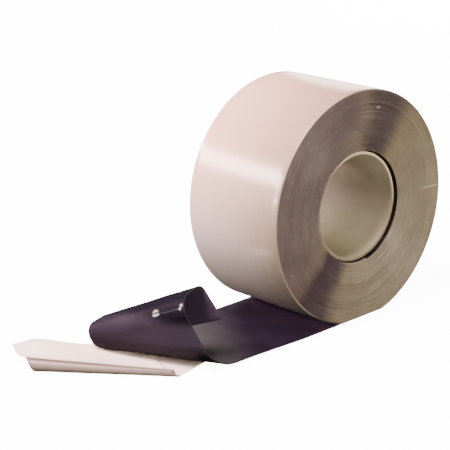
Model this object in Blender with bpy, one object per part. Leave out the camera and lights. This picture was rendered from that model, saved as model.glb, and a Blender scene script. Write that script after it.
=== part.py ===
# Roll of seam cover tape, in metres, +Z up.
# A wide rubber tape is wound together with its release liner on a cardboard core. The roll lies on
# its side with its axis along Y. The free end of the tape runs to -X over the floor at z = 0 and
# curls up over itself. The liner peeled from it lies beside the curl, folded back once.

import math

import bpy
import bmesh
from mathutils import Matrix, Vector

# Tape and release liner
TAPE_WIDTH = 0.1524
TAPE_THICKNESS = 0.0018
LINER_THICKNESS = 0.0004

# Wound roll. Its own weight presses a flat on it, which FLAT_DROP measures.
ROLL_RADIUS = 0.149
FLAT_DROP = 0.0052
DISH_DEPTH = 0.003
DISH_RADIUS = 0.096
GROOVE_COUNT = 6
GROOVE_HALF_WIDTH = 0.0007
GROOVE_DEPTH = 0.0009
GROOVE_MARGIN = 0.006

# Core
CORE_OUTER_RADIUS = 0.0692
CORE_WALL = 0.0042
CORE_RECESS = 0.0075

# Gap between pieces that touch on the real roll
CLEARANCE = 0.0003

# Facets of the round shapes
ROLL_COLUMNS = 64
FLAT_COLUMNS = 5
CORE_SIDES = 64

# Bends of the tape's free end. Every bend turns the strip about straight lines across it, which
# start at distances along its near and far edges. Distances are from where the tape leaves the
# roll, and angles are in degrees, upwards.
TAPE_BENDS = {
    "climb": dict(near=0.060, far=0.060, nearLength=0.010, farLength=0.010, angle=2.0, steps=2),
    "level": dict(near=0.140, far=0.140, nearLength=0.010, farLength=0.010, angle=-2.0, steps=2),
    "lift": dict(near=0.175, far=0.252, nearLength=0.067, farLength=0.025, angle=80.0, steps=12),
    "crest": dict(near=0.277, far=0.279, nearLength=0.080, farLength=0.061, angle=184.0, steps=18),
}
TAPE_END_NEAR = 0.385
TAPE_END_FAR = 0.361

# Bends of the liner, with distances from its hidden end. It starts under the tape, this far from
# where the tape leaves the roll, and heads away at an angle to it.
LINER_BENDS = {
    "fold": dict(near=0.094, far=0.166, nearLength=0.016, farLength=0.018, angle=190.5, steps=8),
    "rest": dict(near=0.137, far=0.209, nearLength=0.010, farLength=0.008, angle=-8.0, steps=2),
}
LINER_END = 0.230
LINER_START_ALONG = 0.175
LINER_START_ACROSS = 0.0515
LINER_HEADING = 13.9


axis_height = ROLL_RADIUS - FLAT_DROP
bore_radius = CORE_OUTER_RADIUS + CLEARANCE
step_height = TAPE_THICKNESS + CLEARANCE
leave_x = -math.sqrt((ROLL_RADIUS - TAPE_THICKNESS) ** 2 - (axis_height - step_height) ** 2)


def clear_scene():
    for thing in list(bpy.data.objects):
        bpy.data.objects.remove(thing, do_unlink=True)


def make_material(name, colour, roughness, metallic=0.0):
    material = bpy.data.materials.new(name)
    material.use_nodes = True
    shader = material.node_tree.nodes["Principled BSDF"]
    shader.inputs["Base Color"].default_value = (*colour, 1.0)
    shader.inputs["Roughness"].default_value = roughness
    shader.inputs["Metallic"].default_value = metallic
    return material


def make_object(name, shape, material, location, turn_z=0.0):
    bmesh.ops.recalc_face_normals(shape, faces=shape.faces)
    mesh = bpy.data.meshes.new(name)
    shape.to_mesh(mesh)
    shape.free()
    mesh.shade_smooth()
    mesh.set_sharp_from_angle(angle=math.radians(30.0))
    mesh.materials.append(material)
    piece = bpy.data.objects.new(name, mesh)
    piece.location = location
    piece.rotation_euler.z = turn_z
    bpy.context.collection.objects.link(piece)
    return piece


def bridge_loops(shape, loops, closed):
    """Joins each closed loop of points to the next with quads, and the last to the first if closed."""
    rings = [[shape.verts.new(point) for point in loop] for loop in loops]
    pairs = list(zip(rings, rings[1:]))
    if closed:
        pairs.append((rings[-1], rings[0]))
    for ring, following in pairs:
        for index in range(len(ring)):
            after = (index + 1) % len(ring)
            shape.faces.new((ring[index], ring[after], following[after], following[index]))
    if not closed:
        shape.faces.new(rings[0])
        shape.faces.new(rings[-1])


def roll_columns():
    """Angle from straight down towards +X, and rim radius, of each column round the roll.

    The rim is a spiral that loses one tape thickness in its turn, then a step down to the flat.
    """
    flat_right = math.sqrt(ROLL_RADIUS ** 2 - axis_height ** 2)
    first = math.atan2(flat_right, axis_height)
    last = 2.0 * math.pi - math.atan2(-leave_x, axis_height - step_height)
    columns = []
    for index in range(ROLL_COLUMNS + 1):
        share = index / ROLL_COLUMNS
        columns.append((first + (last - first) * share, ROLL_RADIUS - TAPE_THICKNESS * share))
    for index in range(FLAT_COLUMNS):
        x = leave_x + (flat_right - leave_x) * index / FLAT_COLUMNS
        columns.append((math.atan2(x, axis_height), math.hypot(x, axis_height)))
    return columns


def groove_radii():
    """Radii of the grooves between groups of turns, evenly spaced over the round part of the ends."""
    outermost = axis_height - GROOVE_MARGIN
    pitch = (outermost - bore_radius) / GROOVE_COUNT
    return [bore_radius + pitch * (index + 0.5) for index in range(GROOVE_COUNT)]


def end_depth(radius):
    """How far the inner turns lie inside the roll's end."""
    return DISH_DEPTH * max(0.0, (DISH_RADIUS - radius) / (DISH_RADIUS - bore_radius))


def end_profile(rim_radius):
    """Radius and depth of the points over one end of the roll, from its bore to its rim."""
    profile = [(bore_radius, end_depth(bore_radius))]
    for radius in groove_radii():
        inner = radius - GROOVE_HALF_WIDTH
        outer = radius + GROOVE_HALF_WIDTH
        profile.append((inner, end_depth(inner)))
        profile.append((radius, end_depth(radius) + GROOVE_DEPTH))
        profile.append((outer, end_depth(outer)))
    profile.append((rim_radius, 0.0))
    return profile


def turned_loop(angle, profile):
    """The profile's near end and its mirror at the far end, turned to one angle round the axis."""
    half = TAPE_WIDTH / 2.0
    near = [(radius, depth - half) for radius, depth in profile]
    far = [(radius, half - depth) for radius, depth in reversed(profile)]
    return [Vector((r * math.sin(angle), y, -r * math.cos(angle))) for r, y in near + far]


def make_wound_roll(material):
    shape = bmesh.new()
    loops = [turned_loop(angle, end_profile(rim_radius)) for angle, rim_radius in roll_columns()]
    bridge_loops(shape, loops, closed=True)
    return make_object("wound_roll", shape, material, (0.0, 0.0, axis_height))


def make_core_tube(material):
    shape = bmesh.new()
    profile = [(CORE_OUTER_RADIUS - CORE_WALL, CORE_RECESS), (CORE_OUTER_RADIUS, CORE_RECESS)]
    loops = [turned_loop(2.0 * math.pi * side / CORE_SIDES, profile) for side in range(CORE_SIDES)]
    bridge_loops(shape, loops, closed=True)
    return make_object("core_tube", shape, material, (0.0, 0.0, axis_height))


def turn_about(near, far, angle):
    """Rotation about the line from a point on the near edge to one on the far edge."""
    turn = Matrix.Rotation(angle, 4, far - near)
    return Matrix.Translation(near) @ turn @ Matrix.Translation(-near)


def strip_loops(thickness, bends, end_near, end_far):
    """Sections across a strip of the tape's width that runs to -X from the origin, at each of its
    bending lines. Every section is near bottom, near top, far top, far bottom.
    """
    half = TAPE_WIDTH / 2.0
    up = Vector((0.0, 0.0, thickness / 2.0))
    placed = Matrix.Translation(up)
    loops = []

    def add_section(near, far, offset):
        corners = (near - offset, near + offset, far + offset, far - offset)
        loops.append([placed @ corner for corner in corners])

    add_section(Vector((0.0, -half, 0.0)), Vector((0.0, half, 0.0)), up)
    for bend in bends.values():
        step_angle = math.radians(bend["angle"]) / bend["steps"]
        for step in range(bend["steps"]):
            share = (step + 0.5) / bend["steps"]
            near = Vector((-bend["near"] - bend["nearLength"] * share, -half, 0.0))
            far = Vector((-bend["far"] - bend["farLength"] * share, half, 0.0))
            lean = Matrix.Rotation(step_angle / 2.0, 3, far - near)
            add_section(near, far, lean @ up / math.cos(step_angle / 2.0))
            placed = placed @ turn_about(near, far, step_angle)
    add_section(Vector((-end_near, -half, 0.0)), Vector((-end_far, half, 0.0)), up)
    return loops


def make_tape_tail(material):
    shape = bmesh.new()
    loops = strip_loops(TAPE_THICKNESS, TAPE_BENDS, TAPE_END_NEAR, TAPE_END_FAR)
    bridge_loops(shape, loops, closed=False)
    return make_object("tape_tail", shape, material, (leave_x - CLEARANCE, 0.0, 0.0))


def make_release_liner(material):
    shape = bmesh.new()
    loops = strip_loops(LINER_THICKNESS, LINER_BENDS, LINER_END, LINER_END)
    bridge_loops(shape, loops, closed=False)
    start = (leave_x - LINER_START_ALONG, LINER_START_ACROSS, 0.0)
    return make_object("release_liner", shape, material, start, math.radians(LINER_HEADING))


def main():
    clear_scene()
    make_wound_roll(make_material("liner_backed_turns", (0.60, 0.53, 0.47), 0.45))
    make_core_tube(make_material("core_board", (0.27, 0.23, 0.16), 0.85))
    make_tape_tail(make_material("black_rubber", (0.045, 0.032, 0.040), 0.42))
    make_release_liner(make_material("release_liner", (0.85, 0.74, 0.70), 0.40))


main()
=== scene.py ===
# Roll of seam cover tape, its free end curled up and its peeled release liner folded beside it
import math

import bmesh
import bpy
from mathutils import Matrix, Vector, noise


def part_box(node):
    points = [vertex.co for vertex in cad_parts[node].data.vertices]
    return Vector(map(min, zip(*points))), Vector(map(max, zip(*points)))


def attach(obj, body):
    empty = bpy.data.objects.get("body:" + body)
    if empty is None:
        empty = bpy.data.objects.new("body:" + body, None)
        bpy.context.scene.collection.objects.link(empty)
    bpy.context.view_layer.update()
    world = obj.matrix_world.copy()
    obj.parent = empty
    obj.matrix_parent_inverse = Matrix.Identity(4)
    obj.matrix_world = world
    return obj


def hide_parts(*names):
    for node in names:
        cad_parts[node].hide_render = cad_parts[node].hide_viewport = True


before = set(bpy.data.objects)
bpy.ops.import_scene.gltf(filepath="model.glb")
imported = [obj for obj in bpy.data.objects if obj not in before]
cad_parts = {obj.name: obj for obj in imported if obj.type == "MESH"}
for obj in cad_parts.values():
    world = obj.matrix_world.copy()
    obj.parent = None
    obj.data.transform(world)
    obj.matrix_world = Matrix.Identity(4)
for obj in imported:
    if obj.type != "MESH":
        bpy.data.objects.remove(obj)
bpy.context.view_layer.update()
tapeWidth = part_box("wound_roll")[1][1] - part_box("wound_roll")[0][1]
halfWidth = tapeWidth / 2.0
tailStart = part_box("tape_tail")[1][0]    # x where the free end leaves the roll
fullTurn = 2.0 * math.pi
print("frame loaded")


# Shader maths

class Signal:
    # A socket of a material's nodes. Without a socket it only adds nodes.
    def __init__(self, tree, socket=None):
        self.tree = tree
        self.socket = socket

    def make(self, kind, settings, values, output=0):
        node = self.tree.nodes.new(kind)
        for name, setting in settings.items():
            setattr(node, name, setting)
        for name, value in values.items():
            if isinstance(value, Signal):
                self.tree.links.new(value.socket, node.inputs[name])
            else:
                node.inputs[name].default_value = value
        return Signal(self.tree, node.outputs[output])

    def math(self, operation, first, second=0.0):
        return self.make("ShaderNodeMath", {"operation": operation}, {0: first, 1: second})

    def __add__(self, other):
        return self.math("ADD", self, other)

    def __radd__(self, other):
        return self.math("ADD", other, self)

    def __sub__(self, other):
        return self.math("SUBTRACT", self, other)

    def __rsub__(self, other):
        return self.math("SUBTRACT", other, self)

    def __mul__(self, other):
        return self.math("MULTIPLY", self, other)

    def __rmul__(self, other):
        return self.math("MULTIPLY", other, self)

    def absolute(self):
        return self.math("ABSOLUTE", self)

    def root(self):
        return self.math("SQRT", self)

    def floor(self):
        return self.math("FLOOR", self)

    def fraction(self):
        return self.math("FRACT", self)

    def angleFrom(self, other):
        return self.math("ARCTAN2", self, other)

    def clamped(self):
        return self.make("ShaderNodeClamp", {}, {"Value": self})

    def spread(self, low, high):
        # From 0 at the low value to 1 at the high one, with soft ends
        return self.make("ShaderNodeMapRange", {"interpolation_type": "SMOOTHSTEP"},
                         {"Value": self, "From Min": low, "From Max": high})

    def closeTo(self, target, full, gone):
        # 1 up to one distance from the target, and 0 past another
        return 1.0 - (self - target).absolute().spread(full, gone)

    def blend(self, first, second):
        # Colour from first to second as this value goes from 0 to 1
        return self.make("ShaderNodeMix", {"data_type": "RGBA"}, {0: self, 6: first, 7: second}, 2)

    def parts(self):
        # The x, y and z of a vector
        node = self.make("ShaderNodeSeparateXYZ", {}, {"Vector": self}).socket.node
        return [Signal(self.tree, output) for output in node.outputs]

    def place(self):
        return self.make("ShaderNodeTexCoord", {}, {}, "Object")

    def mapped(self, name):
        return self.make("ShaderNodeUVMap", {"uv_map": name}, {})

    def stretched(self, vector, scale):
        return self.make("ShaderNodeMapping", {}, {"Vector": vector, "Scale": scale})

    def noise(self, vector, scale, detail=3.0, rough=0.55):
        return self.make("ShaderNodeTexNoise", {}, {"Vector": vector, "Scale": scale, "Detail": detail,
                                                    "Roughness": rough})

    def lineNoise(self, value, detail):
        return self.make("ShaderNodeTexNoise", {"noise_dimensions": "1D"},
                         {"W": value, "Scale": 1.0, "Detail": detail, "Roughness": 0.6})

    def bump(self, height, distance, strength):
        return self.make("ShaderNodeBump", {}, {"Height": height, "Distance": distance, "Strength": strength})


def newMaterial(name):
    material = bpy.data.materials.new(name)
    material.use_nodes = True
    tree = material.node_tree
    return material, tree.nodes["Principled BSDF"], Signal(tree)


def connect(shader, name, signal):
    signal.tree.links.new(signal.socket, shader.inputs[name])


def setShader(shader, **values):
    for name, value in values.items():
        shader.inputs[name.replace("_", " ")].default_value = value


def colour(red, green, blue):
    return (red, green, blue, 1.0)


# Making and finishing a piece

def finishPiece(name, mesh, materials, node):
    shape = bpy.data.meshes.new(name)
    mesh.to_mesh(shape)
    mesh.free()
    for material in materials:
        shape.materials.append(material)
    piece = bpy.data.objects.new(name, shape)
    bpy.context.scene.collection.objects.link(piece)
    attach(piece, "root")
    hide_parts(node)
    return piece


def smoothShade(piece, degrees):
    piece.data.shade_smooth()
    piece.data.set_sharp_from_angle(angle=math.radians(degrees))


def addModifier(piece, kind, **settings):
    modifier = piece.modifiers.new(kind.title(), kind)
    for name, setting in settings.items():
        setattr(modifier, name, setting)


# Wound roll

woundRoll = {
    "radius": 0.149,             # over the start of the outermost turn
    "axisHeight": 0.1438,
    "innerRadius": 0.0721,       # at the start of the innermost turn
    "turns": 43,
    "leaveAngle": -15.5,         # degrees from straight down where the free end leaves
    "innerTwist": 25.0,          # degrees that the innermost turn starts further round
    "grooveShare": 0.10,         # of a turn's thickness, on each side of its groove
    "grooveDepth": 0.00045,
    "dishDepth": 0.003,
    "dishRadius": 0.096,
    "flattenedDepth": 0.030,     # turns nearer the floor than this are pressed flat
    "endJitter": 0.00022,        # how unevenly the turns line up
    "jitterStep": 1.7,           # from one turn to the next through the noise
    "waveScale": 14.0,           # of the slower waves over an end
    "waveShare": 0.6,
    "columns": 168,
    "widthSteps": 14,
    "weldDistance": 0.00002,
    "sharpAngle": 24.0,
}

rollEnds = {
    "shadeWedges": [                  # wedge-shaped painted shade, at angles from straight down towards +X
        {"angle": 2.76, "reach": 0.42, "strength": 0.92},
        {"angle": -0.67, "reach": 0.40, "strength": 1.05},
    ],
    "wedgeCore": 0.10,           # full strength as far as this from a wedge's middle
    "sideways": 0.87,            # direction across the end in which its painted light grows
    "downwards": 0.50,
    "longScratch": {"height": 0.1428, "middle": 0.13, "slope": 0.06, "start": 0.104, "full": 0.124},
    "shortScratch": {"height": 0.2655, "middle": 0.032},
}


def turnedLinerMaterial():
    # The tan release liner that is outermost on the roll, painted darker and greyer low down as painted
    # shade, and lighter to the far end as painted light
    material, shader, signal = newMaterial("turned liner")
    place = signal.place()
    along, upward = place.parts()[1:]
    cloud = signal.noise(place, 9.0, 4.0)
    grain = signal.noise(place, 900.0, 2.0, 0.6)
    streak = signal.noise(signal.stretched(place, (1.0, 14.0, 1.0)), 14.0, 3.0)
    tone = (cloud * 0.55 + streak * 0.45).spread(0.35, 0.68)
    # Painted shade: darker low down; painted light: lighter towards the far end
    low = 1.0 - (upward + cloud * 0.04).spread(0.090, 0.275)
    paintedPaler = (along + cloud * 0.06 - tone * 0.012).spread(-0.080, 0.110)
    topWithPaintedLight = paintedPaler.blend(colour(0.395, 0.280, 0.205), colour(0.850, 0.515, 0.415))
    bottomWithPaintedShade = paintedPaler.blend(colour(0.175, 0.160, 0.105), colour(0.730, 0.660, 0.650))
    connect(shader, "Base Color", low.blend(topWithPaintedLight, bottomWithPaintedShade))
    connect(shader, "Roughness", (0.17 + cloud * 0.08 + grain * 0.03).clamped())
    height = cloud * 0.6 + streak * 0.3 + grain * 0.05
    connect(shader, "Normal", signal.bump(height, 0.0006, 0.2))
    setShader(shader, Specular_IOR_Level=1.0)
    return material


def turnEdgesMaterial():
    # The ends of the roll: cut edges of black rubber, polished in fine rings, with liner between
    material, shader, signal = newMaterial("turn edges")
    place = signal.place()
    across, around = signal.mapped("turns").parts()[:2]
    x, _, upward = place.parts()
    cloud = signal.noise(place, 26.0, 4.0)
    dust = signal.noise(place, 420.0, 3.0, 0.7)

    # Rubber with a tone of its own in each turn, painted purple at the left and lighter olive at the right as
    # painted light
    perTurn = signal.lineNoise((across.floor() - around) * 0.83, 3.0)
    tone = (perTurn * 0.22 + cloud * 0.48 + dust * 0.30).spread(0.36, 0.66)
    purple = tone.blend(colour(0.095, 0.063, 0.068), colour(0.138, 0.098, 0.098))
    olive = tone.blend(colour(0.190, 0.153, 0.108), colour(0.260, 0.218, 0.152))
    side = x * rollEnds["sideways"] - (upward - woundRoll["axisHeight"]) * rollEnds["downwards"]
    # Painted light: the end is painted lighter and olive towards its right and bottom
    paintedLightSide = (side + cloud * 0.05).spread(-0.055, 0.020)
    # Painted shade: dark in two wedge-shaped zones where the fine rings reflect little light
    angle = x.angleFrom(woundRoll["axisHeight"] - upward) + (cloud - 0.5) * 0.25
    upperShadeWedge, lowerShadeWedge = [angle.closeTo(wedge["angle"], rollEnds["wedgeCore"], wedge["reach"]) * wedge["strength"]
                    for wedge in rollEnds["shadeWedges"]]
    rubber = (upperShadeWedge + lowerShadeWedge).clamped().blend(paintedLightSide.blend(purple, olive), colour(0.046, 0.028, 0.038))

    # Liner between the turns
    edge = (across.fraction() - 0.5) * 2.0
    linerLine = edge.absolute().spread(0.80, 0.97)
    lined = (linerLine * 0.18).blend(rubber, colour(0.230, 0.180, 0.130))

    # Two scratches, one level with the axis out to the rim and one near the top, and fine specks
    long = rollEnds["longScratch"]
    level = upward - long["height"] + (x - long["middle"]) * long["slope"]
    longMark = level.closeTo(0.0, 0.0006, 0.0018) * x.spread(long["start"], long["full"])
    short = rollEnds["shortScratch"]
    shortMark = upward.closeTo(short["height"], 0.0005, 0.0018) * x.closeTo(short["middle"], 0.002, 0.005)
    specks = signal.noise(place, 260.0, 2.0, 0.5).spread(0.70, 0.76) * 0.5
    marks = ((longMark + shortMark) * dust.spread(0.30, 0.50) * 0.90 + specks).clamped()
    worn = marks.blend(lined, colour(0.46, 0.41, 0.33))

    # The outermost turn is painted pale at the left, as a painted highlight on its lit edge, and nearly black
    # at the right, as painted shade
    rimPaintedLightAndShade = (side + 0.02).spread(-0.03, 0.03).blend(colour(0.36, 0.28, 0.22), colour(0.020, 0.022, 0.016))
    outermost = woundRoll["turns"] - 1.0
    onRim = across.spread(outermost - 0.05, outermost + 0.15) * 0.80
    connect(shader, "Base Color", onRim.blend(worn, rimPaintedLightAndShade))
    connect(shader, "Roughness", (0.34 + dust * 0.12 + cloud * 0.08).clamped())
    rings = signal.lineNoise((across - around) * 9.0, 2.0)
    connect(shader, "Normal", signal.bump(rings * 0.8 + dust * 0.08, 0.0008, 1.0))
    setShader(shader, Specular_IOR_Level=1.0)
    return material


def boreRubberMaterial():
    # Inner face of the innermost turn, hardly lit
    material, shader, signal = newMaterial("bore rubber")
    cloud = signal.noise(signal.place(), 30.0, 4.0)
    rubber = cloud.spread(0.3, 0.7).blend(colour(0.003, 0.002, 0.002), colour(0.007, 0.005, 0.004))
    connect(shader, "Base Color", rubber)
    connect(shader, "Roughness", (0.5 + cloud * 0.2).clamped())
    setShader(shader, Specular_IOR_Level=0.3)
    return material


def turnPitch(settings):
    return (settings["radius"] - settings["innerRadius"]) / settings["turns"]


def endPoints(settings, side):
    # Points over one end of the roll, from the bore to the rim, as (radius, y)
    pitch = turnPitch(settings)
    grooved = side * (halfWidth - settings["grooveDepth"])
    points = []
    for turn in range(settings["turns"]):
        base = settings["innerRadius"] + turn * pitch
        points.append((base, grooved))
        points.append((base + pitch * settings["grooveShare"], side * halfWidth))
        points.append((base + pitch * (1.0 - settings["grooveShare"]), side * halfWidth))
    points.append((settings["radius"], grooved))
    return points


def rollProfile(settings):
    # Closed outline of the roll's section: near end, outer face, far end, bore
    near = endPoints(settings, -1.0)
    far = endPoints(settings, 1.0)
    steps = settings["widthSteps"]
    outerLow = near[-1][1]
    rise = (far[-1][1] - outerLow) / steps
    outer = [(settings["radius"], outerLow + rise * step) for step in range(1, steps)]
    return near + outer + far[::-1]


def spinRoll(settings):
    # The section spun round the axis, with each point's radius and how far round it is
    mesh = bmesh.new()
    leave = math.radians(settings["leaveAngle"])
    direction = Vector((math.sin(leave), 0.0, -math.cos(leave)))
    points = [direction * radius + Vector((0.0, y, 0.0)) for radius, y in rollProfile(settings)]
    verts = [mesh.verts.new(point) for point in points]
    edges = [mesh.edges.new((verts[index - 1], verts[index])) for index in range(len(verts))]
    spun = bmesh.ops.spin(mesh, geom=verts + edges, cent=(0.0, 0.0, 0.0), axis=(0.0, -1.0, 0.0),
                          angle=fullTurn, steps=settings["columns"])
    last = {item for item in spun["geom_last"] if isinstance(item, bmesh.types.BMVert)}
    where = {}
    for vert in mesh.verts:
        turned = (math.atan2(vert.co.x, -vert.co.z) - leave) % fullTurn
        if turned > fullTurn - 0.001:
            turned = 0.0
        if vert in last:
            turned = fullTurn
        where[vert] = (math.hypot(vert.co.x, vert.co.z), turned)
    return mesh, where


def markTurns(mesh, where, settings):
    # Which turn each point is on and how far round, for the finish, and a material for each face
    pitch = turnPitch(settings)
    turnsMap = mesh.loops.layers.uv.new("turns")
    for face in mesh.faces:
        outermost = max(where[vert][0] for vert in face.verts)
        onEnd = abs(face.calc_center_median().y) > halfWidth - 2.0 * settings["grooveDepth"]
        inBore = outermost < settings["innerRadius"] + settings["grooveShare"] * pitch and not onEnd
        face.material_index = 2 if inBore else 1 if onEnd else 0
        for loop in face.loops:
            radius, turned = where[loop.vert]
            loop[turnsMap].uv = ((radius - settings["innerRadius"]) / pitch, turned / fullTurn)


def windTurns(mesh, where, settings):
    # Winds the rings into one spiral, presses its underside flat and dishes its ends
    height = settings["axisHeight"]
    inner = settings["innerRadius"]
    pitch = turnPitch(settings)
    leave = math.radians(settings["leaveAngle"])
    twist = math.radians(settings["innerTwist"])
    pressed = settings["flattenedDepth"]
    drop = settings["radius"] - height
    for vert in mesh.verts:
        radius, turned = where[vert]
        wound = radius - pitch * turned / fullTurn
        inward = 1.0 - (wound - inner) / (settings["radius"] - inner)
        angle = leave + turned + twist * inward
        x = wound * math.sin(angle)
        z = height - wound * math.cos(angle)
        buried = settings["radius"] - wound
        if buried < pressed:
            z = max(z, buried * (pressed - drop) / pressed)
        side = math.copysign(1.0, vert.co.y)
        y = abs(vert.co.y)
        if y > halfWidth - 2.0 * settings["grooveDepth"]:
            dish = max(0.0, (settings["dishRadius"] - wound) / (settings["dishRadius"] - inner))
            count = math.floor((radius - inner) / pitch + 0.001) - turned / fullTurn
            # The side's own number keeps the two ends from matching
            jitter = noise.noise(Vector((count * settings["jitterStep"], side * 7.0, 0.0)))
            wave = noise.noise(Vector((x * settings["waveScale"], side * 3.0, z * settings["waveScale"])))
            y -= settings["dishDepth"] * dish
            y -= settings["endJitter"] * (1.0 + jitter + settings["waveShare"] * wave)
        vert.co = Vector((x, side * y, z))


def makeWoundRoll(settings, materials):
    mesh, where = spinRoll(settings)
    markTurns(mesh, where, settings)
    windTurns(mesh, where, settings)
    bmesh.ops.remove_doubles(mesh, verts=mesh.verts, dist=settings["weldDistance"])
    openEdges = [edge for edge in mesh.edges if edge.is_boundary]
    bmesh.ops.holes_fill(mesh, edges=openEdges, sides=0)
    bmesh.ops.recalc_face_normals(mesh, faces=mesh.faces)
    piece = finishPiece("woundTurns", mesh, materials, "wound_roll")
    smoothShade(piece, settings["sharpAngle"])
    return piece


rollPiece = makeWoundRoll(woundRoll, [turnedLinerMaterial(), turnEdgesMaterial(), boreRubberMaterial()])
print("wound roll made", len(rollPiece.data.polygons))


# Core

core = {
    "outerRadius": 0.0692,
    "wall": 0.0042,
    "recess": 0.0075,            # from the tape's edges
    "edge": 0.0006,              # rounding of its rims
    "columns": 144,
    "sharpAngle": 40.0,
    "darkPlies": 0.0660,         # radius up to which its rims are painted dark, as painted shade
    "brightPlies": 0.0670,
}


def coreBoardMaterial():
    # Wound board, olive-brown, with painted light making it lighter and greener low down, lighter at the top
    # and towards its mouths, and painted shade darkening it far inside
    material, shader, signal = newMaterial("core board")
    place = signal.place()
    along, upward = place.parts()[1:]
    fibre = signal.noise(signal.stretched(place, (1.0, 0.25, 1.0)), 240.0, 4.0, 0.65)
    cloud = signal.noise(place, 22.0, 3.0)
    tone = (fibre * 0.3 + cloud * 0.7).spread(0.34, 0.68)
    plain = tone.blend(colour(0.145, 0.124, 0.090), colour(0.190, 0.166, 0.122))
    low = 1.0 - (upward + cloud * 0.03).spread(0.088, 0.138)
    high = (upward + cloud * 0.02).spread(0.150, 0.205)
    paintedPaler = high.blend(low.blend(plain, colour(0.460, 0.440, 0.290)), colour(0.640, 0.560, 0.460))
    # Painted light towards the mouths, and painted shade far inside the tube
    mouthPaintedLight = along.absolute().spread(0.0, 0.066)
    paintedShadeFarInside = ((1.0 - mouthPaintedLight) * 0.30).blend(paintedPaler, colour(0.100, 0.088, 0.066))
    connect(shader, "Base Color", (mouthPaintedLight * 0.45).blend(paintedShadeFarInside, colour(0.430, 0.385, 0.280)))
    connect(shader, "Roughness", (0.55 + fibre * 0.2).clamped())
    connect(shader, "Normal", signal.bump(fibre, 0.0003, 0.5))
    return material


def coreRimMaterial():
    # Cut rims of the board, bright only on the outer plies and above the axis; elsewhere they are painted
    # dark as painted shade
    material, shader, signal = newMaterial("core rim")
    place = signal.place()
    x, _, upward = place.parts()
    fibre = signal.noise(place, 600.0, 4.0, 0.65)
    low = 1.0 - (upward + fibre * 0.02).spread(0.130, 0.185)
    board = fibre.spread(0.3, 0.7).blend(colour(0.58, 0.47, 0.33), colour(0.74, 0.62, 0.46))
    lit = low.blend(board, colour(0.190, 0.160, 0.115))
    height = upward - woundRoll["axisHeight"]
    # Painted shade on the inner plies
    outer = (x * x + height * height).root().spread(core["darkPlies"], core["brightPlies"])
    connect(shader, "Base Color", outer.blend(colour(0.200, 0.175, 0.125), lit))
    connect(shader, "Roughness", (0.70 + fibre * 0.15).clamped())
    connect(shader, "Normal", signal.bump(fibre, 0.0004, 0.6))
    return material


def makeCore(settings, materials):
    mesh = bmesh.new()
    axisHeight = woundRoll["axisHeight"]
    half = halfWidth - settings["recess"]
    outer = settings["outerRadius"]
    inner = outer - settings["wall"]
    corners = [(inner, -half), (outer, -half), (outer, half), (inner, half)]
    verts = [mesh.verts.new((radius, y, axisHeight)) for radius, y in corners]
    edges = [mesh.edges.new((verts[index - 1], verts[index])) for index in range(4)]
    bmesh.ops.spin(mesh, geom=verts + edges, cent=(0.0, 0.0, axisHeight), axis=(0.0, 1.0, 0.0),
                   angle=fullTurn, steps=settings["columns"], use_merge=True)
    bmesh.ops.recalc_face_normals(mesh, faces=mesh.faces)
    rims = [edge for edge in mesh.edges if abs(edge.calc_face_angle() - math.pi / 2.0) < 0.1]
    bmesh.ops.bevel(mesh, geom=rims, offset=settings["edge"], affect="EDGES", segments=3, profile=0.5,
                    material=-1)
    for face in mesh.faces:
        face.material_index = 1 if abs(face.normal.y) > 0.3 else 0
    piece = finishPiece("boardCore", mesh, materials, "core_tube")
    smoothShade(piece, settings["sharpAngle"])
    return piece


corePiece = makeCore(core, [coreBoardMaterial(), coreRimMaterial()])
print("core made", len(corePiece.data.polygons))


# Strips that bend about straight lines across them. A bend starts at distances along the near and
# far edges, runs on for a length of each, and turns the rest of the strip upwards by its degrees.

def stripRows(settings):
    # Straight lines across the strip as (near, far, angle), with rows added where no line bends
    lines = [(0.0, 0.0, 0.0)]
    for bend in settings["bends"].values():
        for step in range(bend["steps"]):
            share = (step + 0.5) / bend["steps"]
            near = bend["near"] + bend["nearLength"] * share
            far = bend["far"] + bend["farLength"] * share
            lines.append((near, far, math.radians(bend["angle"]) / bend["steps"]))
    lines.append((settings["endNear"], settings["endFar"], 0.0))
    rows = [lines[0]]
    for before, after in zip(lines, lines[1:]):
        nearGap = after[0] - before[0]
        farGap = after[1] - before[1]
        parts = max(1, round(max(nearGap, farGap) / settings["rowGap"]))
        for part in range(1, parts):
            share = part / parts
            rows.append((before[0] + nearGap * share, before[1] + farGap * share, 0.0))
        rows.append(after)
    return rows


def bendStrip(settings):
    # A flat grid with its rows on the bending lines, folded from its free end back to its start
    rows = stripRows(settings)
    mesh = bmesh.new()
    bmesh.ops.create_grid(mesh, x_segments=len(rows) - 1, y_segments=settings["across"], size=1.0)
    stripMap = mesh.loops.layers.uv.new("strip")
    rowOf = {}
    for vert in mesh.verts:
        index = round((1.0 - vert.co.x) / 2.0 * (len(rows) - 1))
        share = (vert.co.y + 1.0) / 2.0
        near, far = rows[index][:2]
        rowOf[vert] = index
        vert.co = Vector((-near - (far - near) * share, (2.0 * share - 1.0) * halfWidth, 0.0))
    for face in mesh.faces:
        for loop in face.loops:
            loop[stripMap].uv = (loop.vert.co.x, loop.vert.co.y)
    for index in range(len(rows) - 1, 0, -1):
        near, far, angle = rows[index]
        if angle == 0.0:
            continue
        start = Vector((-near, -halfWidth, 0.0))
        along = Vector((near - far, tapeWidth, 0.0))
        beyond = [vert for vert in mesh.verts if rowOf[vert] > index]
        bmesh.ops.rotate(mesh, cent=start, matrix=Matrix.Rotation(angle, 3, along), verts=beyond)
    mesh.normal_update()
    return mesh, rowOf, rows


def keepAboveFloor(mesh):
    for vert in mesh.verts:
        vert.co.z = max(vert.co.z, 0.0)


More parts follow.
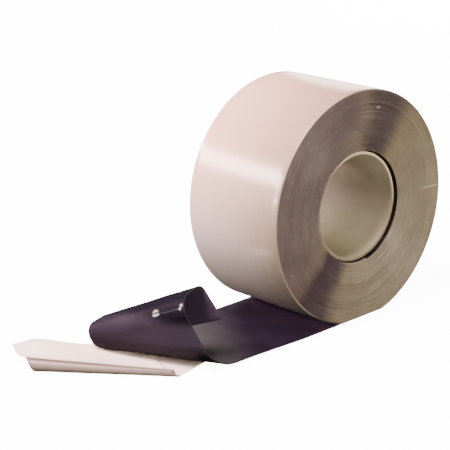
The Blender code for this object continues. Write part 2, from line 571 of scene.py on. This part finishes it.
def ruffle(mesh, rowOf, settings):
    # Slight unevenness, none where the strip lies flat at its start
    moves = {}
    for vert in mesh.verts:
        strength = min(1.0, max(0.0, (rowOf[vert] - settings["calmRows"]) / settings["fadeRows"]))
        value = noise.noise(vert.co * settings["ruffleScale"] + Vector((3.1, 1.7, 0.4)))
        moves[vert] = vert.normal * value * settings["ruffle"] * strength
    for vert, move in moves.items():
        vert.co += move


# Free end of the tape

tapeTail = {
    "thickness": 0.0018,
    "bends": {
        "climb": dict(near=0.060, far=0.060, nearLength=0.012, farLength=0.012, angle=2.0, steps=4),
        "level": dict(near=0.140, far=0.140, nearLength=0.012, farLength=0.012, angle=-2.0, steps=4),
        "lift": dict(near=0.1759, far=0.2501, nearLength=0.0639, farLength=0.0264, angle=77.4, steps=30),
        "crest": dict(near=0.2782, far=0.2770, nearLength=0.0358, farLength=0.0248, angle=100.8, steps=34),
        "tip": dict(near=0.3308, far=0.3220, nearLength=0.0129, farLength=0.0080, angle=81.9, steps=18),
    },
    "endNear": 0.3848,
    "endFar": 0.3622,
    "rowGap": 0.006,
    "across": 30,
    "ruffle": 0.0006,
    "ruffleScale": 24.0,
    "calmRows": 26,
    "fadeRows": 10.0,
    "edgeBevel": 0.0004,
    "bevelAngle": 50.0,
    "sharpAngle": 40.0,
}

wetSpots = {
    "travel": 0.2901,            # from where the tape leaves the roll
    "spots": [                   # with the squares of the distances where each is full and gone
        {"across": -0.0330, "full": 0.000004, "gone": 0.000030},
        {"across": -0.0745, "full": 0.000006, "gone": 0.000040},
    ],
    "lineFrom": -0.070,
    "lineTo": -0.032,
    "lineFade": 0.004,
    "lineStrength": 0.04,
}


def membraneMaterial():
    # Matt weathering face of the tape, with a painted sheen along its middle, and painted lighter and purple
    # close to the roll and inside the curl, as painted light where shadow falls
    material, shader, signal = newMaterial("rubber membrane")
    strip = signal.mapped("strip")
    x, across = strip.parts()[:2]
    cloud = signal.noise(strip, 20.0, 4.0)
    grain = signal.noise(strip, 1400.0, 2.0, 0.6)
    travel = x * -1.0 + (cloud - 0.5) * 0.03
    plain = cloud.spread(0.35, 0.7).blend(colour(0.0067, 0.0043, 0.0100), colour(0.0105, 0.0073, 0.0145))
    # Painted sheen: a lighter grey along its middle
    paintedSheen = (travel + across * 0.6).spread(0.08, 0.20) * (1.0 - travel.spread(0.235, 0.285))
    withPaintedSheen = paintedSheen.blend(plain, colour(0.041, 0.044, 0.044))
    # Painted light close to the roll, where the roll's shadow falls
    paintedLightByRoll = 1.0 - travel.spread(0.0, 0.065)
    withPaintedLightByRoll = paintedLightByRoll.blend(withPaintedSheen, colour(0.065, 0.042, 0.082))
    # Painted light inside the curl, where it is in shadow
    paintedLightInsideCurl = travel.spread(0.290, 0.330)
    connect(shader, "Base Color", paintedLightInsideCurl.blend(withPaintedLightByRoll, colour(0.058, 0.041, 0.072)))
    connect(shader, "Roughness", (0.50 + cloud * 0.14 + grain * 0.06).clamped())
    connect(shader, "Normal", signal.bump(grain * 0.4 + cloud * 0.6, 0.0004, 0.4))
    setShader(shader, IOR=1.12)
    return material


def wetness(x, across):
    # Tack has run together in two wet spots on the fold, with a thin line between them
    onFold = x + wetSpots["travel"]
    band = onFold * onFold
    fade = wetSpots["lineFade"]
    started = across.spread(wetSpots["lineFrom"] - fade, wetSpots["lineFrom"] + fade)
    ended = across.spread(wetSpots["lineTo"] - fade, wetSpots["lineTo"] + fade)
    wet = (1.0 - band.spread(0.0, 0.000003)) * started * (1.0 - ended) * wetSpots["lineStrength"]
    for spot in wetSpots["spots"]:
        apart = across - spot["across"]
        wet = wet + (1.0 - (band + apart * apart * 0.7).spread(spot["full"], spot["gone"]))
    return wet.clamped()


def adhesiveMaterial():
    # Tacky gum face, smoother and glossier than the membrane, painted darker low on the curl as painted shade
    material, shader, signal = newMaterial("gum adhesive")
    strip = signal.mapped("strip")
    x, across = strip.parts()[:2]
    cloud = signal.noise(strip, 34.0, 4.0)
    ripple = signal.noise(signal.stretched(strip, (1.0, 0.3, 1.0)), 90.0, 3.0)
    travel = x * -1.0 - across * 0.35 + (cloud - 0.5) * 0.006
    toFar = (across + (cloud.spread(0.3, 0.7) - 0.5) * 0.02).spread(-0.085, 0.075)
    middle = toFar.blend(colour(0.045, 0.0365, 0.056), colour(0.018, 0.0148, 0.024))
    # Painted shade: darker low on the curl, over the liner
    low = travel.spread(0.238, 0.270).blend(colour(0.0060, 0.0038, 0.0070), middle)
    connect(shader, "Base Color", travel.spread(0.284, 0.302).blend(low, colour(0.0085, 0.0065, 0.0125)))
    connect(shader, "Roughness", (0.32 + cloud * 0.16).clamped())
    connect(shader, "Coat Weight", wetness(x, across))
    connect(shader, "Normal", signal.bump(cloud * 0.5 + ripple * 0.5, 0.0011, 0.3))
    setShader(shader, IOR=1.07, Coat_Roughness=0.20, Coat_IOR=1.8)
    return material


def cutRubberMaterial():
    # Thickness of the tape seen on its cut edges
    material, shader, signal = newMaterial("cut rubber")
    grain = signal.noise(signal.place(), 500.0, 3.0, 0.6)
    rubber = grain.spread(0.3, 0.7).blend(colour(0.016, 0.014, 0.016), colour(0.026, 0.023, 0.026))
    connect(shader, "Base Color", rubber)
    connect(shader, "Roughness", (0.5 + grain * 0.2).clamped())
    connect(shader, "Normal", signal.bump(grain, 0.0003, 0.5))
    setShader(shader, IOR=1.2)
    return material


def makeTapeTail(settings, materials):
    mesh, rowOf, rows = bendStrip(settings)
    ruffle(mesh, rowOf, settings)
    keepAboveFloor(mesh)
    bmesh.ops.translate(mesh, verts=mesh.verts, vec=(tailStart, 0.0, settings["thickness"] / 2.0))
    piece = finishPiece("tapeFreeEnd", mesh, materials, "tape_tail")
    addModifier(piece, "SOLIDIFY", thickness=settings["thickness"], offset=0.0, material_offset=1,
                material_offset_rim=2, use_even_offset=True)
    addModifier(piece, "BEVEL", width=settings["edgeBevel"], segments=2, limit_method="ANGLE",
                angle_limit=math.radians(settings["bevelAngle"]))
    smoothShade(piece, settings["sharpAngle"])
    return piece


tailPiece = makeTapeTail(tapeTail, [membraneMaterial(), adhesiveMaterial(), cutRubberMaterial()])
print("free end made", len(tailPiece.data.polygons))


# Peeled liner

peeledLiner = {
    "thickness": 0.0004,
    "startAlong": 0.1743,        # from where the tape leaves the roll to the liner's hidden end
    "startAcross": 0.0399,
    "heading": 11.3,             # degrees away from the tape's own direction
    "bends": {
        "fold": dict(near=0.0873, far=0.1626, nearLength=0.0150, farLength=0.0320, angle=200.7, steps=28),
        "settle": dict(near=0.1230, far=0.2190, nearLength=0.0118, farLength=0.0126, angle=-19.3, steps=8),
        "end": dict(near=0.1750, far=0.2330, nearLength=0.0180, farLength=0.0120, angle=-20.5, steps=10),
    },
    "endNear": 0.1982,
    "endFar": 0.2524,
    "rowGap": 0.004,
    "across": 44,
    "ruffle": 0.0003,
    "ruffleScale": 18.0,
    "calmRows": 12,
    "fadeRows": 10.0,
    "waveHeight": 0.0075,        # of the raised cut end
    "waveFromTip": 0.027,
    "waveToTip": 0.017,          # how far the wave spreads to the tip, and away from it
    "waveAway": 0.038,
    "waveReach": 0.050,
    "layerGap": 0.0008,          # from one layer to the next where folded
    "underTape": 0.0020,         # highest that it lies under the flat part of the tape
    "liftCurve": 0.085,          # twice the radius that the tape lifts with
    "besideSlope": 0.6,          # how steeply it may rise beside the tape
    "lipNear": 0.01915,          # how far the fold's shaded face reaches back along each edge
    "lipFar": 0.02765,
    "creaseBack": 0.0035,        # from the fold's end back to its crease
    "sharpAngle": 40.0,
}


def alongEdges(across, near, far):
    # A value that runs evenly from the strip's near edge to its far edge
    return across * ((far - near) / tapeWidth) + (near + far) / 2.0


def linerMaterial():
    # Pale peeled liner, its fold's face painted darker and a dark line painted along its crease, as painted
    # shade
    material, shader, signal = newMaterial("peeled liner")
    strip = signal.mapped("strip")
    x, across = strip.parts()[:2]
    cloud = signal.noise(strip, 14.0, 4.0)
    grain = signal.noise(strip, 1200.0, 2.0, 0.6)
    fold = peeledLiner["bends"]["fold"]
    foldEnd = alongEdges(across, fold["near"] + fold["nearLength"], fold["far"] + fold["farLength"])
    pastFold = x * -1.0 - foldEnd
    # Painted shade along the crease and over the fold's face
    crease = (pastFold + cloud * 0.0004).closeTo(-peeledLiner["creaseBack"], 0.0018, 0.0065)
    lipReach = alongEdges(across, peeledLiner["lipNear"], peeledLiner["lipFar"])
    lip = (pastFold + lipReach).spread(-0.001, 0.001) * (1.0 - pastFold.spread(-0.005, -0.001))
    paper = cloud.spread(0.35, 0.7).blend(colour(0.96, 0.820, 0.765), colour(0.92, 0.770, 0.710))
    folded = (lip * 0.92).blend(paper, colour(0.17, 0.130, 0.110))
    connect(shader, "Base Color", (crease * 0.85).blend(folded, colour(0.09, 0.06, 0.045)))
    connect(shader, "Roughness", (0.36 + cloud * 0.12 + grain * 0.05).clamped())
    connect(shader, "Normal", signal.bump(cloud * 0.8 + grain * 0.1 - crease * 0.6, 0.0008, 0.3))
    return material


def raiseCutEnd(mesh, rowOf, rows, settings):
    # The cut end stands up in a wave near its far corner
    stripMap = mesh.loops.layers.uv.active
    for vert in mesh.verts:
        near, far = rows[rowOf[vert]][:2]
        fromTip = halfWidth - vert.link_loops[0][stripMap].uv.y
        toEnd = (settings["endNear"] + settings["endFar"] - near - far) / 2.0
        if toEnd > settings["waveReach"]:
            continue
        fade = 1.0 - toEnd / settings["waveReach"]
        width = settings["waveToTip"] if fromTip < settings["waveFromTip"] else settings["waveAway"]
        rise = math.exp(-((fromTip - settings["waveFromTip"]) / width) ** 2)
        vert.co.z += settings["waveHeight"] * rise * fade * fade * (3.0 - 2.0 * fade)


def keepOverFold(mesh, rowOf, rows, settings):
    # The folded layer lies on the one under it
    fold = settings["bends"]["fold"]
    for vert in mesh.verts:
        if rows[rowOf[vert]][0] > fold["near"] + fold["nearLength"]:
            vert.co.z = max(vert.co.z, settings["layerGap"])


def keepUnderTape(mesh, settings):
    # Pressed flat as far as the tape lies on it, and free beyond the line where the tape lifts
    lift = tapeTail["bends"]["lift"]
    for vert in mesh.verts:
        share = vert.co.y / tapeWidth + 0.5
        lifted = tailStart - lift["near"] - (lift["far"] - lift["near"]) * share - vert.co.x
        room = max(0.0, lifted) ** 2 / settings["liftCurve"]
        beside = max(0.0, abs(vert.co.y) - halfWidth) * settings["besideSlope"]
        vert.co.z = min(vert.co.z, settings["underTape"] + room + beside)


def makeLiner(settings, materials):
    mesh, rowOf, rows = bendStrip(settings)
    ruffle(mesh, rowOf, settings)
    raiseCutEnd(mesh, rowOf, rows, settings)
    keepAboveFloor(mesh)
    keepOverFold(mesh, rowOf, rows, settings)
    turn = Matrix.Rotation(math.radians(settings["heading"]), 3, "Z")
    bmesh.ops.rotate(mesh, cent=(0.0, 0.0, 0.0), matrix=turn, verts=mesh.verts)
    place = (tailStart - settings["startAlong"], settings["startAcross"], settings["thickness"] / 2.0)
    bmesh.ops.translate(mesh, verts=mesh.verts, vec=place)
    keepUnderTape(mesh, settings)
    piece = finishPiece("peeledLiner", mesh, materials, "release_liner")
    addModifier(piece, "SOLIDIFY", thickness=settings["thickness"], offset=0.0, use_even_offset=True)
    smoothShade(piece, settings["sharpAngle"])
    return piece


linerPiece = makeLiner(peeledLiner, [linerMaterial()])
print("liner made", len(linerPiece.data.polygons))


# Floor, light and camera

studio = {
    "floorSize": 60.0,
    "floorGlow": 12.0,
    "floorDrop": 0.0002,         # keeps the floor from meeting the undersides
    "worldStrength": 0.08,
    "worldColour": (1.0, 0.95, 0.85),
    "keyFrom": (-0.42, 0.05, 0.90),
    "keyStrength": 13.0,
    "keySpread": 24.0,           # degrees
    "keyColour": (1.0, 0.77, 0.76),
    "target": (-0.1, 0.0, 0.12),
    "lights": [
        {"name": "backStrip", "place": (-1.45, 1.60, 1.02), "size": (1.6, 0.36), "power": 88.0,
         "colour": (1.0, 0.76, 0.66)},
        {"name": "front", "place": (-0.05, -2.3, 0.22), "size": (1.0, 0.4), "power": 70.0,
         "colour": (1.0, 0.87, 0.70)},
        {"name": "fill", "place": (-1.1, -1.5, 0.8), "size": (1.0, 0.8), "power": 8.0,
         "colour": (0.95, 1.0, 0.95)},
        {"name": "rear", "place": (1.9, 1.1, 0.65), "size": (1.2, 0.9), "power": 24.0,
         "colour": (1.0, 0.84, 0.78)},
        {"name": "glint", "place": (-1.515, 0.80, 0.27), "size": (0.34, 0.34), "power": 0.075,
         "colour": (1.0, 0.95, 0.97), "target": (-0.285, -0.03, 0.075), "spread": 8.0},
    ],
}

view = {
    "azimuth": -42.684,
    "elevation": 17.848,
    "roll": -1.607,
    "place": (-1.4595, -1.4104, 0.7610),
    "fieldOfView": 15.308,
    "sensorWidth": 36.0,
}


def floorMaterial(glow):
    material, shader = newMaterial("studio floor")[:2]
    setShader(shader, Base_Color=colour(0.70, 0.86, 0.90), Roughness=0.8, Specular_IOR_Level=0.1,
              Emission_Color=colour(1.0, 1.0, 1.0), Emission_Strength=glow)
    return material


def makeFloor(settings):
    mesh = bmesh.new()
    bmesh.ops.create_grid(mesh, x_segments=1, y_segments=1, size=settings["floorSize"] / 2.0)
    shape = bpy.data.meshes.new("studioFloor")
    mesh.to_mesh(shape)
    mesh.free()
    shape.materials.append(floorMaterial(settings["floorGlow"]))
    floor = bpy.data.objects.new("studioFloor", shape)
    floor.location.z = -settings["floorDrop"]
    floor.visible_diffuse = False
    floor.visible_glossy = False
    bpy.context.scene.collection.objects.link(floor)


def makeWorld(settings):
    world = bpy.data.worlds.new("studio")
    bpy.context.scene.world = world
    world.use_nodes = True
    background = world.node_tree.nodes["Background"]
    background.inputs["Color"].default_value = colour(*settings["worldColour"])
    background.inputs["Strength"].default_value = settings["worldStrength"]


def makeKey(settings):
    sun = bpy.data.lights.new("key", "SUN")
    sun.energy = settings["keyStrength"]
    sun.angle = math.radians(settings["keySpread"])
    sun.color = settings["keyColour"]
    sunObject = bpy.data.objects.new("key", sun)
    sunObject.rotation_euler = Vector(settings["keyFrom"]).to_track_quat("Z", "Y").to_euler()
    bpy.context.scene.collection.objects.link(sunObject)


def makeLamps(settings):
    for entry in settings["lights"]:
        lamp = bpy.data.lights.new(entry["name"], "AREA")
        lamp.shape = "RECTANGLE"
        lamp.size, lamp.size_y = entry["size"]
        lamp.energy = entry["power"]
        lamp.color = entry["colour"]
        lamp.spread = math.radians(entry.get("spread", 180.0))
        lampObject = bpy.data.objects.new(entry["name"], lamp)
        lampObject.location = entry["place"]
        aim = Vector(entry.get("target", settings["target"])) - Vector(entry["place"])
        lampObject.rotation_euler = aim.to_track_quat("-Z", "Y").to_euler()
        bpy.context.scene.collection.objects.link(lampObject)


def makeCamera(settings):
    azimuth = math.radians(settings["azimuth"])
    elevation = math.radians(settings["elevation"])
    roll = math.radians(settings["roll"])
    back = Vector((math.sin(azimuth) * math.cos(elevation), -math.cos(azimuth) * math.cos(elevation),
                   math.sin(elevation)))
    level = Vector((math.cos(azimuth), math.sin(azimuth), 0.0))
    rise = back.cross(level)
    right = math.cos(roll) * level + math.sin(roll) * rise
    up = math.cos(roll) * rise - math.sin(roll) * level
    camera = bpy.data.cameras.new("camera")
    camera.sensor_width = settings["sensorWidth"]
    camera.lens = settings["sensorWidth"] / 2.0 / math.tan(math.radians(settings["fieldOfView"]) / 2.0)
    cameraObject = bpy.data.objects.new("camera", camera)
    cameraObject.matrix_world = Matrix((right, up, back)).transposed().to_4x4()
    cameraObject.location = settings["place"]
    bpy.context.scene.collection.objects.link(cameraObject)
    bpy.context.scene.camera = cameraObject


makeFloor(studio)
makeWorld(studio)
makeKey(studio)
makeLamps(studio)
makeCamera(view)
print("studio made")
